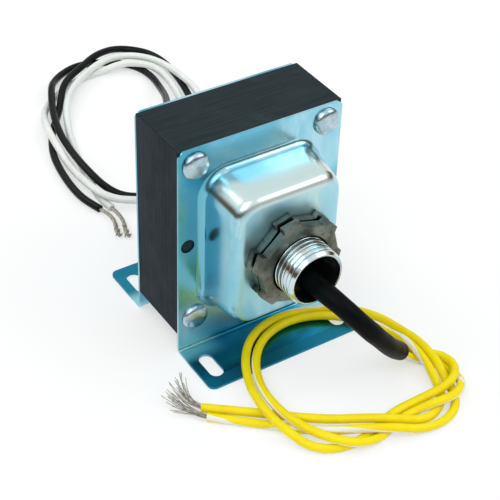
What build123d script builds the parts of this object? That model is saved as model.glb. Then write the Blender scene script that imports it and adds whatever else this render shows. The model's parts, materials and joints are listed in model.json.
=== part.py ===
from build123d import *
from math import cos, pi, radians, sin, tan
import os

# Multi-mount control transformer, in millimetres.
# +Z is up and the front hub points along -Y. z = 0 is the underside of the feet,
# x = 0 the middle of the width and y = 0 the middle of the core.

os.makedirs("parts", exist_ok=True)

# Core: E and I laminations with a one-inch tongue, legs along X, stacked along Y
tongue_width = 25.4
leg_width = 12.7
window_length = 38.1
window_height = 12.7
stack_depth = 26.4
core_lift = 8.35

# End covers, one steel pressing each
sheet = 0.9
plate_corner_radius = 2.5
foot_reach = 23.0
foot_bend_radius = 1.2
foot_corner_radius = 2.5
slot_width = 5.2
slot_length = 11.8
slot_from_side = 6.1
slot_from_core = 12.7
ground_hole_diameter = 5.2
ground_hole_from_side = 3.55

# Drawn box of each cover: its outer skin stands clear of the window, the coil and the splices
box_side_room = 3.55
box_end_room = 2.7
box_front_room = 3.2
box_drop = 1.45
box_side_taper = 1.9
box_end_taper = 2.3
box_corner_radius = 9.0
box_face_radius = 4.0
box_base_radius = 2.6

# Threaded hubs and their locknuts
hub_diameter = 20.9
hub_wall = 1.55
hub_length = 16.75
hub_flange_diameter = 26.4
hub_flange_thickness = 1.4
hub_clearance = 0.1
hub_tip_chamfer = 0.8
hub_mouth_chamfer = 0.3
nut_lug_diameter = 34.4
nut_root_diameter = 30.6
nut_bevel_diameter = 28.6
nut_bevel_depth = 1.1
nut_thickness = 3.4
nut_gap = 0.7
nut_bore_chamfer = 0.6
lug_count = 6
lug_tip_angle = 22.0
lug_foot_angle = 26.0
inner_nut_turn = 105.0
outer_nut_turn = 103.0

# Rivets
rivet_diameter = 4.8
rivet_clearance = 0.2
rivet_head_diameter = 10.0
rivet_head_height = 2.3

# Coil on its bobbin
bobbin_clearance = 0.2
bobbin_wall = 1.0
bobbin_flange_rim = 0.9
bobbin_corner_radius = 0.8
flange_corner_radius = 5.0
winding_clearance = 0.1
layer_clearance = 0.05
primary_build = 3.4
barrier_thickness = 0.3
secondary_build = 3.2
wrap_thickness = 0.5

# Pad on each end of the coil, with the splices of the leads on it
pad_width = 34.0
pad_height = 16.0
pad_thickness = 1.4
splice_diameter = 3.0
splice_length = 10.0
splice_from_middle = 3.4
splice_height = 44.0

# Leads and sleeve
lead_diameter = 3.1
sleeve_diameter = 7.2
sleeve_wall = 0.2
strands_diameter = 2.0
tinned_diameter = 1.6
run_share = 0.45
same_place = 0.01

# Worked out from the above
core_width = window_length + 2 * leg_width
core_height = tongue_width + 2 * window_height + 2 * leg_width
core_middle = core_lift + core_height / 2
core_face = stack_depth / 2
core_top = core_lift + core_height
rivet_spacing_x = core_width - leg_width
rivet_spacing_z = core_height - leg_width
rivet_hole_radius = rivet_diameter / 2 + rivet_clearance
slot_spacing = core_width - 2 * slot_from_side
ground_hole_spacing = core_width - 2 * ground_hole_from_side
tube_y = stack_depth + 2 * (bobbin_clearance + bobbin_wall)
tube_z = tongue_width + 2 * (bobbin_clearance + bobbin_wall)
layers = (
    ("primary_winding", primary_build),
    ("winding_barrier", barrier_thickness),
    ("secondary_winding", secondary_build),
    ("coil_wrap", wrap_thickness),
)
coil_build = sum(thickness + layer_clearance for name, thickness in layers)
coil_face = tube_y / 2 + coil_build
pad_face = coil_face + layer_clearance + pad_thickness
splice_face = pad_face + layer_clearance + splice_diameter
box_middle = core_middle - box_drop
box_base_width = window_length + 2 * box_side_room
box_base_height = tongue_width + 2 * window_height + 2 * box_end_room
box_depth = splice_face - core_face + hub_flange_thickness + box_front_room
box_end = sheet + box_depth
box_side_draft = box_side_taper / box_depth
box_top_draft = box_end_taper / box_depth
hub_radius = hub_diameter / 2
hub_bore_radius = hub_radius - hub_wall
hub_tip = box_end + hub_length


def front_plane(distance, height):
    """A plane facing -Y, at a distance in front of the core's face, with Z up."""
    return Plane(origin=(0, -core_face - distance, height), x_dir=(1, 0, 0), z_dir=(0, -1, 0))


def finish(builder, name):
    """Label a finished piece and write its file."""
    builder.part.label = name
    export_step(builder.part, f"parts/{name}.step")


def finish_pair(builder, name):
    """Write a front piece, and the same piece turned half round for the rear."""
    finish(builder, f"front_{name}")
    with BuildPart() as rear_piece:
        add(builder.part.rotate(Axis.Z, 180))
    finish(rear_piece, f"rear_{name}")


# Core: the E stack, closed by the I stack on the +X side
with BuildPart() as core_e_stack:
    with BuildSketch(Plane.XZ.offset(-core_face)):
        with Locations((-leg_width / 2, core_middle)):
            Rectangle(core_width - leg_width, core_height)
        with Locations((0, core_middle)):
            with GridLocations(0, tongue_width + window_height, 1, 2):
                Rectangle(window_length, window_height, mode=Mode.SUBTRACT)
        with Locations((-rivet_spacing_x / 2, core_middle)):
            with GridLocations(0, rivet_spacing_z, 1, 2):
                Circle(rivet_hole_radius, mode=Mode.SUBTRACT)
    extrude(amount=stack_depth)
finish(core_e_stack, "core_e_stack")

with BuildPart() as core_i_stack:
    with BuildSketch(Plane.XZ.offset(-core_face)):
        with Locations((rivet_spacing_x / 2, core_middle)):
            Rectangle(leg_width, core_height)
            with GridLocations(0, rivet_spacing_z, 1, 2):
                Circle(rivet_hole_radius, mode=Mode.SUBTRACT)
    extrude(amount=stack_depth)
finish(core_i_stack, "core_i_stack")


# Coil: sections are drawn across the tongue, in the YZ plane
bobbin_length = window_length - 2 * bobbin_clearance
winding_length = bobbin_length - 2 * (bobbin_wall + winding_clearance)


def coil_section(build):
    """A rounded rectangle around the bobbin's tube, larger by the build on every side."""
    return RectangleRounded(tube_y + 2 * build, tube_z + 2 * build, bobbin_corner_radius + build)


with BuildPart() as bobbin:
    with BuildSketch(Plane.YZ):
        with Locations((0, core_middle)):
            RectangleRounded(tube_y, tube_z, bobbin_corner_radius)
    extrude(amount=bobbin_length / 2, both=True)
    flange_build = coil_build + bobbin_flange_rim
    for flange_x in (-bobbin_length / 2, bobbin_length / 2 - bobbin_wall):
        with BuildSketch(Plane.YZ.offset(flange_x)):
            with Locations((0, core_middle)):
                RectangleRounded(tube_y + 2 * flange_build, tube_z + 2 * flange_build, flange_corner_radius)
        extrude(amount=bobbin_wall)
    with BuildSketch(Plane.YZ):
        with Locations((0, core_middle)):
            Rectangle(tube_y - 2 * bobbin_wall, tube_z - 2 * bobbin_wall)
    extrude(amount=bobbin_length / 2, both=True, mode=Mode.SUBTRACT)
finish(bobbin, "bobbin")

layer_start = layer_clearance
for layer_name, layer_thickness in layers:
    with BuildPart() as layer:
        with BuildSketch(Plane.YZ):
            with Locations((0, core_middle)):
                coil_section(layer_start + layer_thickness)
        extrude(amount=winding_length / 2, both=True)
        with BuildSketch(Plane.YZ):
            with Locations((0, core_middle)):
                coil_section(layer_start)
        extrude(amount=winding_length / 2, both=True, mode=Mode.SUBTRACT)
    finish(layer, layer_name)
    layer_start += layer_thickness + layer_clearance

with BuildPart() as lead_pad:
    with BuildSketch(front_plane(coil_face + layer_clearance - core_face, splice_height)):
        Rectangle(pad_width, pad_height)
    extrude(amount=pad_thickness)
finish_pair(lead_pad, "lead_pad")

for splice_name, splice_side in (("left", -1), ("right", 1)):
    splice_y = -pad_face - layer_clearance - splice_diameter / 2
    splice_start = (splice_side * splice_from_middle, splice_y, splice_height)
    with BuildPart() as splice:
        with BuildSketch(Plane(origin=splice_start, z_dir=(splice_side, 0, 0))):
            Circle(splice_diameter / 2)
        extrude(amount=splice_length)
    finish_pair(splice, f"splice_{splice_name}")


# End covers
def drawn_box(inset, end_distance, face_radius):
    """The drawn box as a solid, from the core's face out, its skin moved in by the inset."""
    with BuildPart() as box:
        for distance in (0, end_distance):
            side_shift = box_side_draft * (distance - sheet) + inset * (1 + box_side_draft**2) ** 0.5
            top_shift = box_top_draft * (distance - sheet) + inset * (1 + box_top_draft**2) ** 0.5
            with BuildSketch(front_plane(distance, box_middle)):
                RectangleRounded(
                    box_base_width - 2 * side_shift,
                    box_base_height - 2 * top_shift,
                    box_corner_radius - inset,
                )
        loft(ruled=True)
        fillet(box.faces().sort_by(Axis.Y)[0].edges(), face_radius)
    return box.part


def edges_in_plane(edges, height):
    """The edges whose middle lies on the plane y = height."""
    return edges.filter_by_position(Axis.Y, height - same_place, height + same_place)


box_outside = drawn_box(0, box_end, box_face_radius)
box_inside = drawn_box(sheet, box_depth, box_face_radius - sheet)

with BuildPart() as cover:
    # Foot and plate: one bent section across the whole width
    with BuildSketch(Plane.YZ.offset(-core_width / 2)):
        with BuildLine():
            FilletPolyline(
                (-core_face - foot_reach, sheet / 2),
                (-core_face - sheet / 2, sheet / 2),
                (-core_face - sheet / 2, core_top),
                radius=foot_bend_radius + sheet / 2,
            )
        trace(line_width=sheet)
    extrude(amount=core_width)
    fillet(cover.edges().filter_by(Axis.Y).group_by(Axis.Z)[-1], plate_corner_radius)
    fillet(cover.edges().filter_by(Axis.Z).group_by(Axis.Y)[0], foot_corner_radius)

    # Drawn box, rounded into the plate outside and inside
    add(box_outside)
    fillet(edges_in_plane(cover.edges(Select.LAST), -core_face - sheet), box_base_radius)
    add(box_inside, mode=Mode.SUBTRACT)
    fillet(edges_in_plane(cover.edges(Select.LAST), -core_face), box_base_radius + sheet)

    # Hub hole, rivet holes and ground screw holes
    with BuildSketch(front_plane(box_depth, box_middle)):
        Circle(hub_radius + hub_clearance)
    extrude(amount=sheet, mode=Mode.SUBTRACT)
    with BuildSketch(front_plane(0, core_middle)):
        with GridLocations(rivet_spacing_x, rivet_spacing_z, 2, 2):
            Circle(rivet_hole_radius)
        with GridLocations(ground_hole_spacing, 0, 2, 1):
            Circle(ground_hole_diameter / 2)
    extrude(amount=sheet, mode=Mode.SUBTRACT)

    # Foot slots, long across the foot
    with BuildSketch(Plane.XY):
        with Locations((0, -core_face - slot_from_core)):
            with GridLocations(slot_spacing, 0, 2, 1):
                SlotOverall(slot_length, slot_width, rotation=90)
    extrude(amount=sheet, mode=Mode.SUBTRACT)
finish_pair(cover, "cover")


# Hubs: a threaded nipple held inside the box by its flange, clamped by the inner locknut
def turned_plane(height):
    """A plane for half sections: local X is the radius and local Y lies along the hub's axis."""
    return Plane(origin=(0, 0, height), x_dir=(1, 0, 0), z_dir=(0, 0, 1))


hub_axis = Axis((0, 0, box_middle), (0, 1, 0))
hub_tip_y = -core_face - hub_tip
box_inner_face_y = -core_face - box_depth

with BuildPart() as hub:
    with BuildSketch(turned_plane(box_middle)):
        with BuildLine():
            Polyline(
                (hub_bore_radius, box_inner_face_y + hub_flange_thickness),
                (hub_flange_diameter / 2, box_inner_face_y + hub_flange_thickness),
                (hub_flange_diameter / 2, box_inner_face_y),
                (hub_radius, box_inner_face_y),
                (hub_radius, hub_tip_y + hub_tip_chamfer),
                (hub_radius - hub_tip_chamfer, hub_tip_y),
                (hub_bore_radius + hub_mouth_chamfer, hub_tip_y),
                (hub_bore_radius, hub_tip_y + hub_mouth_chamfer),
                close=True,
            )
        make_face()
    revolve(axis=hub_axis)
finish_pair(hub, "hub")


# Locknuts: a ring with square lugs on its rim, and a flat between each lug and the next
def lug_outline(turn):
    """Corners of the rim, anticlockwise seen from the front: foot, tip, tip and foot of each lug."""
    corners = []
    for lug in range(lug_count):
        middle = turn + lug * 360 / lug_count
        for offset, diameter in (
            (-lug_foot_angle / 2, nut_root_diameter),
            (-lug_tip_angle / 2, nut_lug_diameter),
            (lug_tip_angle / 2, nut_lug_diameter),
            (lug_foot_angle / 2, nut_root_diameter),
        ):
            angle = radians(middle + offset)
            corners.append((diameter / 2 * cos(angle), diameter / 2 * sin(angle)))
    return corners


for nut_name, nut_start, nut_turn in (
    ("inner_locknut", box_end, inner_nut_turn),
    ("outer_locknut", box_end + nut_thickness + nut_gap, outer_nut_turn),
):
    nut_back_y = -core_face - nut_start
    nut_front_y = nut_back_y - nut_thickness
    with BuildPart() as locknut:
        with BuildSketch(front_plane(nut_start, box_middle)):
            with BuildLine():
                Polyline(*lug_outline(nut_turn), close=True)
            make_face()
        extrude(amount=nut_thickness)
        with BuildSketch(turned_plane(box_middle)):
            with BuildLine():
                Polyline(
                    (hub_radius + hub_clearance, nut_back_y),
                    (nut_lug_diameter / 2, nut_back_y),
                    (nut_lug_diameter / 2, nut_front_y + nut_bevel_depth),
                    (nut_bevel_diameter / 2, nut_front_y),
                    (hub_radius + hub_clearance + nut_bore_chamfer, nut_front_y),
                    (hub_radius + hub_clearance, nut_front_y + nut_bore_chamfer),
                    close=True,
                )
            make_face()
        revolve(axis=hub_axis, mode=Mode.INTERSECT)
    finish_pair(locknut, nut_name)


# Rivets through both covers and the core, with a low dome at each end
rivet_half_grip = core_face + sheet
for rivet_name, rivet_x, rivet_z in (
    ("rivet_top_left", -rivet_spacing_x / 2, core_middle + rivet_spacing_z / 2),
    ("rivet_top_right", rivet_spacing_x / 2, core_middle + rivet_spacing_z / 2),
    ("rivet_bottom_left", -rivet_spacing_x / 2, core_middle - rivet_spacing_z / 2),
    ("rivet_bottom_right", rivet_spacing_x / 2, core_middle - rivet_spacing_z / 2),
):
    with BuildPart() as rivet:
        with BuildSketch(Plane(origin=(rivet_x, 0, rivet_z), x_dir=(1, 0, 0), z_dir=(0, 0, 1))):
            with BuildLine():
                apex = rivet_half_grip + rivet_head_height
                rim = (rivet_head_diameter / 2, rivet_half_grip)
                low_rim = (rivet_head_diameter / 2, -rivet_half_grip)
                TangentArc((0, apex), rim, tangent=(1, 0))
                Polyline(rim, (rivet_diameter / 2, rivet_half_grip), (rivet_diameter / 2, -rivet_half_grip), low_rim)
                TangentArc((0, -apex), low_rim, tangent=(1, 0))
                Line((0, -apex), (0, apex))
            make_face()
        revolve(axis=Axis((rivet_x, 0, rivet_z), (0, 1, 0)))
    finish(rivet, rivet_name)


# Leads: straight runs joined by arcs as large as the runs allow
def corner_radii(points):
    """One radius for each corner: a share of its shorter run over the tangent of half its turn."""
    radii = []
    for before, corner, after in zip(points, points[1:], points[2:]):
        run_in = Vector(*corner) - Vector(*before)
        run_out = Vector(*after) - Vector(*corner)
        half_turn = radians(run_in.get_angle(run_out) / 2)
        radii.append(run_share * min(run_in.length, run_out.length) / tan(half_turn))
    return radii


def round_tube(points, radius, bore_radius=0):
    """A round tube along a route of points, solid unless it has a bore."""
    with BuildPart() as tube:
        with BuildLine() as route:
            FilletPolyline(*points, radius=corner_radii(points))
        with BuildSketch(Plane(origin=route.line @ 0, z_dir=route.line % 0)):
            Circle(radius)
            if bore_radius:
                Circle(bore_radius, mode=Mode.SUBTRACT)
        sweep(path=route.line)
    return tube


def finish_lead(name, points, diameter):
    """Write a lead and print its length, its smallest radii and its volume against its section."""
    tube = round_tube(points, diameter / 2)
    finish(tube, name)
    length = tube.part.volume / (pi * diameter**2 / 4)
    radii = ", ".join(f"{radius:.1f}" for radius in sorted(corner_radii(points))[:5])
    print(f"{name}: length {length:.0f} mm, smallest radii {radii}")
    return tube


yellow_inner_route = [
    (-1.6, -24, 44), (-1.1, -42, 40.8), (1.3, -56.5, 40), (9.3, -64.2, 32), (18.6, -64.8, 20.8),
    (25.4, -62.4, 11.2), (31.4, -60.3, 4.6), (37.2, -61.7, 1.9), (42.1, -65.9, 1.55), (44.1, -71.9, 1.55),
    (43.2, -77.8, 2.4), (39.2, -82.3, 4.5), (33, -84.2, 5), (26.6, -83.2, 4.8), (19.6, -80.9, 2.2),
    (11.6, -81.6, 1.55), (3.4, -84.6, 1.6), (-4.6, -85.2, 4.2), (-11, -80.7, 4.9), (-15.8, -73, 4.8),
    (-19, -64.4, 4.8), (-19.8, -55, 4.6), (-17.6, -43.8, 2.6), (-12.4, -33, 2.6), (-4, -25, 2.6),
    (6.5, -21.9, 2.6), (17, -23.4, 2.6), (26, -28.8, 2.6), (32.6, -36.5, 2.6), (36, -46, 3.2),
    (36.7, -55.6, 6.3), (36.5, -65.3, 5.9), (35.9, -73, 2.3), (33.5, -79.4, 1.55), (28, -84.4, 1.55),
    (20, -86, 2.3), (11.5, -82.8, 5.1), (2.5, -77, 4.8), (-6.5, -69.8, 2.6), (-16, -61.4, 1.55),
    (-25, -53.8, 1.55), (-33, -47.5, 1.55), (-39.5, -42.4, 1.55),
]
yellow_outer_route = [
    (1.6, -24, 44), (2.1, -42, 40.8), (4.3, -55.1, 40), (11.1, -61.6, 32), (19.7, -61.6, 20.8),
    (26, -59.1, 11.4), (31.8, -57.2, 4.8), (36.7, -58.2, 2.2), (41.9, -60.8, 2.2), (44.7, -65.5, 3.6),
    (44.6, -71.8, 4.9), (41.2, -76.5, 5.1), (35.8, -78.8, 4.9), (29.4, -79.2, 4.6), (22.4, -77.4, 2.1),
    (13.5, -77.3, 1.55), (5, -80.4, 1.55), (-4, -82.2, 1.55), (-12, -81, 1.55), (-18.8, -76.4, 2),
    (-22.6, -69, 4.6), (-24, -60.5, 4.9), (-23.2, -51.8, 4.6), (-20.6, -42.2, 2.6), (-15.4, -31.2, 2.6),
    (-8, -23, 2.6), (2, -18.6, 2.6), (13.5, -18.9, 2.6), (24.5, -22.8, 2.6), (33.6, -29.4, 2.6),
    (39.1, -38, 2.6), (40.6, -47.5, 3.4), (40.6, -57, 5.8), (40.3, -67, 5.3), (39.5, -74, 1.9),
    (37.8, -81, 1.55), (33.4, -87, 1.55), (26, -89.8, 1.55), (17, -89, 2.3), (8, -85.4, 5),
    (-1.5, -80, 4.8), (-10.5, -73.4, 2.4), (-19, -65.6, 1.55), (-27, -58.6, 1.55), (-34, -52.4, 1.55),
    (-40, -47, 1.55),
]
black_route = [
    (-1.6, 24, 44), (-1.8, 42, 42.5), (1.5, 57, 38), (9, 70.5, 32), (18.5, 83, 26.5),
    (27.5, 96, 20.5), (35.5, 109.5, 14.5), (42, 123, 8.5), (47, 136, 3.6), (50, 148, 1.6),
    (48.5, 158.5, 1.55), (42, 166.5, 1.55), (33, 171.5, 1.55), (24, 173, 1.55), (15.5, 170, 1.55),
    (8.6, 164, 2.6), (4.2, 156.8, 5), (0.2, 148.5, 4.9), (-3.2, 140.5, 4.9), (-6.3, 131.5, 4.8),
    (-8.8, 121.5, 4.8), (-10.2, 111, 4.8), (-10.8, 101, 4.8), (-10.8, 92, 4.8), (-9.4, 83.5, 3.2),
    (-5.6, 75.8, 1.55), (1.2, 70.6, 1.55), (10, 68.8, 1.55), (19, 71.8, 1.55), (28.2, 78.8, 1.55),
    (37, 88.2, 1.55), (45, 99.5, 1.55), (51.5, 112, 1.55), (56, 124.5, 1.55), (59, 137, 1.55),
    (60.6, 148.2, 1.55), (61, 158.2, 1.55), (58.6, 167.2, 1.55), (53, 173.6, 1.55), (46, 176, 2.2),
    (39, 174.6, 4.8), (31.5, 171, 4.8), (24, 166.2, 4.8), (16.4, 161.8, 4.9), (9.8, 156.2, 5),
    (5.2, 149.6, 3.2), (1, 143.2, 1.55), (-3.8, 137, 1.55), (-8.4, 130.8, 1.55), (-12.2, 123.8, 1.55),
    (-16, 115, 1.55), (-18.2, 105, 1.55), (-19.4, 95.5, 1.55), (-19.8, 86.5, 1.55), (-19, 79, 1.55),
    (-16.8, 72.2, 1.55),
]
white_route = [
    (1.6, 24, 44), (1.6, 42, 42.5), (4.8, 56, 37), (12.5, 68, 29), (22.5, 80, 20.5),
    (32.5, 92.5, 12), (41.5, 105, 4.8), (48.5, 117.5, 1.6), (53, 130.5, 1.6), (54.6, 141.5, 2.6),
    (52.8, 150.4, 4.5), (48, 156.4, 4.8), (41, 160.2, 4.7), (33, 162.6, 1.9), (24.5, 162.8, 1.55),
    (16, 160, 1.55), (7.6, 155.8, 1.55), (-0.6, 150.4, 1.55), (-6.6, 143, 2.4), (-10, 134.2, 4.8),
    (-12.2, 125, 4.8), (-13.4, 115.5, 4.4), (-14.2, 106, 2.6), (-14.9, 96.4, 3.4), (-15.2, 86.8, 4.8),
    (-14, 77.6, 4.8), (-9.8, 70, 4.8), (-2, 65.6, 4.4), (7, 63.8, 1.8), (16.5, 65.6, 1.55),
    (26, 71.2, 1.55), (35.4, 79.4, 1.55), (44.4, 90, 1.55), (52, 102.2, 1.55), (57.4, 115, 2.2),
    (59.4, 126, 4.8), (59.2, 136, 4.8), (58.4, 145, 4.8), (56.4, 153.4, 4.8), (52.4, 160.2, 4.8),
    (46.4, 165, 4.8), (38.8, 166.6, 4.8), (31, 164.6, 4.8), (24, 160.8, 4.8), (17, 156.2, 4.8),
    (10.6, 150.4, 4.8), (5.6, 144.2, 4.8), (1.6, 137.4, 3.6), (-1.2, 130.4, 1.6), (-4.2, 122, 1.55),
    (-7, 112.5, 1.55), (-9.2, 103, 1.55), (-10.8, 94, 1.55), (-12.6, 85.6, 1.55), (-13.6, 77.8, 1.55),
    (-12.6, 70.4, 1.55),
]
inner_strands_route = [(-39.5, -42.4, 1.55), (-43.4, -39.34, 1.55), (-44.8, -34.4, 1.3), (-43.2, -29.6, 1.2)]
outer_strands_route = [(-40, -47, 1.55), (-44.2, -43.22, 1.55), (-47, -38.6, 1.3), (-47.8, -33.6, 1.2)]
black_tinned_route = [
    (-16.8, 72.2, 1.55), (-15.26, 67.44, 1.55), (-15.4, 62.6, 1.2), (-17, 58.2, 1.1), (-18, 54, 1.1),
]
white_tinned_route = [
    (-12.6, 70.4, 1.55), (-12, 65.96, 1.55), (-12.4, 61.2, 1.2), (-14, 56.6, 1.1), (-15.2, 51.8, 1.1),
]
sleeve_route = [
    (0, -30, 43), (0.5, -42, 40.8), (2.8, -55.8, 40), (10.2, -62.9, 32), (19.2, -63.1, 20.8),
    (25.7, -60.7, 11.3), (30.2, -59.2, 6.2),
]

finish_lead("yellow_lead_inner", yellow_inner_route, lead_diameter)
finish_lead("yellow_lead_outer", yellow_outer_route, lead_diameter)
finish_lead("black_lead", black_route, lead_diameter)
finish_lead("white_lead", white_route, lead_diameter)
finish_lead("inner_bare_strands", inner_strands_route, strands_diameter)
finish_lead("outer_bare_strands", outer_strands_route, strands_diameter)
finish_lead("black_tinned_end", black_tinned_route, tinned_diameter)
finish_lead("white_tinned_end", white_tinned_route, tinned_diameter)

# Sleeve over both yellow leads
with BuildPart() as front_sleeve:
    add(round_tube(sleeve_route, sleeve_diameter / 2, sleeve_diameter / 2 - sleeve_wall).part)
finish(front_sleeve, "front_sleeve")
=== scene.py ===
import json
from functools import partial

import bmesh
import bpy
import numpy as np
from mathutils import Matrix, Vector, geometry

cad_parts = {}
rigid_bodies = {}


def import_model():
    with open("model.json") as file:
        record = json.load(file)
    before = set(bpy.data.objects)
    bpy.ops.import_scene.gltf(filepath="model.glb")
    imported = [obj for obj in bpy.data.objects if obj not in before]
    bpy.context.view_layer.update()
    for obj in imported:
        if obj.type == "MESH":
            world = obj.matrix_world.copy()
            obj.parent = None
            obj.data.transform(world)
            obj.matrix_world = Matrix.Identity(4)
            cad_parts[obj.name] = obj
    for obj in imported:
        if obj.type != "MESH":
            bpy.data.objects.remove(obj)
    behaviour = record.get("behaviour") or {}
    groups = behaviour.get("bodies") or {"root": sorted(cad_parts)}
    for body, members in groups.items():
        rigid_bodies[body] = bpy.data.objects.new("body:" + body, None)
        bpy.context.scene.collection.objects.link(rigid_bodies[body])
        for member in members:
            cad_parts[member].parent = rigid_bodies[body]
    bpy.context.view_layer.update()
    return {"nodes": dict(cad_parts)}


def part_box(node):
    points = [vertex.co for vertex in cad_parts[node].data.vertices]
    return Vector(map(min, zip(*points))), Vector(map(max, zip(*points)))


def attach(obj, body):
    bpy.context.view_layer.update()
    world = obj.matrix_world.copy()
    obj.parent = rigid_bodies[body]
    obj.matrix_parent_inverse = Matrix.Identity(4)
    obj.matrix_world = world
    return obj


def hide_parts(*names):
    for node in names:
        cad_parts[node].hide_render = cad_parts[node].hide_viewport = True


# Multi-mount control transformer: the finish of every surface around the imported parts.
# Everything is in metres, +Z up, with the front hub pointing along -Y.

for leftover in list(bpy.data.objects):
    bpy.data.objects.remove(leftover)
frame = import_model()
nodes = frame["nodes"]

mm = 0.001
full_turn = 2 * np.pi
weld = 0.002 * mm

# Cover pressing
sheet = 0.9 * mm
plate_corner = 2.5 * mm
foot_corner = 2.5 * mm
bend_radius = 1.2 * mm
slot_width = 5.2 * mm
slot_length = 11.8 * mm
slot_from_side = 6.1 * mm
slot_from_core = 12.7 * mm
ground_hole_radius = 2.6 * mm
ground_hole_from_side = 3.55 * mm
ground_hole_height = 46.45 * mm
box_middle = 45.0 * mm
box_depth = 18.0 * mm
box_face_width = 41.4 * mm
box_face_height = 51.6 * mm
box_side_taper = 1.9 * mm
box_end_taper = 2.3 * mm
box_corner = 9.0 * mm
box_face_radius = 4.0 * mm
box_base_radius = 2.6 * mm

# Hub and its thread
hub_radius = 10.45 * mm
hub_bore = 8.9 * mm
hub_hole_radius = 10.55 * mm
hub_flange_radius = 13.2 * mm
hub_flange_thickness = 1.4 * mm
thread_pitch = 1.814 * mm
thread_depth = 0.7 * mm
thread_groove = 0.1
thread_sides = 200
thread_rings = 230
thread_lead_in = 1.0 * mm
mouth_chamfer = 0.75 * mm
mouth_radius = 0.3 * mm

# Locknuts
nut_rounding = 0.28 * mm

# Rivets
seat_of_rivets = 14.1 * mm
rivet_shank = 2.2 * mm
rivet_fullness = 2.7
rivet_sides = 64

# Core
lamination = 0.63 * mm
lamination_gap = 0.05 * mm
lamination_shift = 0.045 * mm

# Leads, with the tracer's half width as a share of the turn
lead_radius = 1.55 * mm
lead_rim = 0.25 * mm
lead_step = 0.9 * mm
lead_sides = 20
tracer_half_width = 0.1

# Sleeve
sleeve_radius = 3.6 * mm
sleeve_wall = 0.55 * mm
sleeve_rim = 0.2 * mm
sleeve_flatness = 0.93
sleeve_step = 0.6 * mm
sleeve_sides = 36

# Bare strands and tinned ends
conductor_radius = 0.7688 * mm
strand_count = 20
strand_radius = 0.115 * mm
strand_rim = 0.05 * mm
strand_start = 2 * mm
strand_spread = (1.3 * mm, 1.3 * mm, 0.8 * mm)
furthest_tip = -50.5 * mm
lowest_tip = 0.3 * mm
lowest_bow = 0.6 * mm
tinned_count = 7
tinned_radius = 0.24 * mm
tinned_rim = 0.08 * mm
tinned_step = 0.4 * mm
tinned_lay = 7 * mm
tinned_spread = 0.52 * mm
lowest_tinned = 0.26 * mm
wire_sides = 8

# Camera, fitted to the photograph
camera_azimuth = -34.32
camera_elevation = 38.73
camera_roll = 2.31
camera_distance = 494.86 * mm
camera_target = (6.39 * mm, 0, 21.09 * mm)
camera_lens = 99.03
camera_sensor = 36.0


# Meshes
def unit(vector):
    """The direction of a vector, or of each row of vectors."""
    return vector / np.linalg.norm(vector, axis=-1, keepdims=True)


def joined(*axes):
    """Points from their X, Y and Z, each an array that the others are widened to."""
    return np.stack(np.broadcast_arrays(*axes), axis=-1)


def quads(rows, columns, wrap_rows=False, wrap_columns=False):
    """Corner numbers of a grid's faces: each joins a point, its neighbour in the row, and those one
    row on."""
    row, column = np.meshgrid(
        np.arange(rows if wrap_rows else rows - 1),
        np.arange(columns if wrap_columns else columns - 1),
        indexing="ij",
    )
    next_row = (row + 1) % rows
    next_column = (column + 1) % columns
    corners = (
        row * columns + column,
        row * columns + next_column,
        next_row * columns + next_column,
        next_row * columns + column,
    )
    return np.stack(corners, axis=-1).reshape(-1, 4)


def grid_patch(points, wrap_rows=False, wrap_columns=False):
    """A patch from an array of rows of points: its points in one list, and its faces."""
    rows, columns = points.shape[:2]
    return points.reshape(-1, 3), quads(rows, columns, wrap_rows, wrap_columns)


def capped_rings(points):
    """Patches of closed rings, with a flat end over the first ring and over the last."""
    rings, faces = grid_patch(points, wrap_columns=True)
    sides = points.shape[1]
    return [(rings, faces), (rings, [np.arange(sides), np.arange(len(rings) - sides, len(rings))])]


def add_piece(name, mesh, material):
    """A finished mesh as a smooth piece in its material."""
    mesh.shade_smooth()
    mesh.materials.clear()
    mesh.materials.append(material)
    piece = bpy.data.objects.new(name, mesh)
    bpy.context.scene.collection.objects.link(piece)
    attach(piece, "root")
    return piece


def make_piece(name, patches, material, along=None):
    """One mesh from several patches, its doubled points welded and its faces turned outwards. Along
    gives the corners of its faces a map, where it has one."""
    points = []
    faces = []
    start = 0
    for patch_points, patch_faces in patches:
        points.append(patch_points)
        faces.extend((np.asarray(patch_faces) + start).tolist())
        start += len(patch_points)
    mesh = bpy.data.meshes.new(name)
    mesh.from_pydata(np.concatenate(points).tolist(), [], faces)
    if along is not None:
        mesh.uv_layers.new(name="along").data.foreach_set("uv", along.ravel())
    shape = bmesh.new()
    shape.from_mesh(mesh)
    bmesh.ops.remove_doubles(shape, verts=shape.verts, dist=weld)
    bmesh.ops.recalc_face_normals(shape, faces=shape.faces)
    shape.to_mesh(mesh)
    shape.free()
    return add_piece(name, mesh, material)


def apply_modifiers(piece):
    """Put the piece's modifiers into its mesh."""
    shown = piece.evaluated_get(bpy.context.evaluated_depsgraph_get())
    mesh = bpy.data.meshes.new_from_object(shown)
    piece.modifiers.clear()
    piece.data = mesh


def crisp_edges(piece, angle):
    """Edges sharper than the angle stay crisp, and flat faces keep their own normals on the rounds
    beside them."""
    piece.data.set_sharp_from_angle(angle=np.radians(angle))
    weighted = piece.modifiers.new("even_shading", "WEIGHTED_NORMAL")
    weighted.keep_sharp = True
    apply_modifiers(piece)


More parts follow.
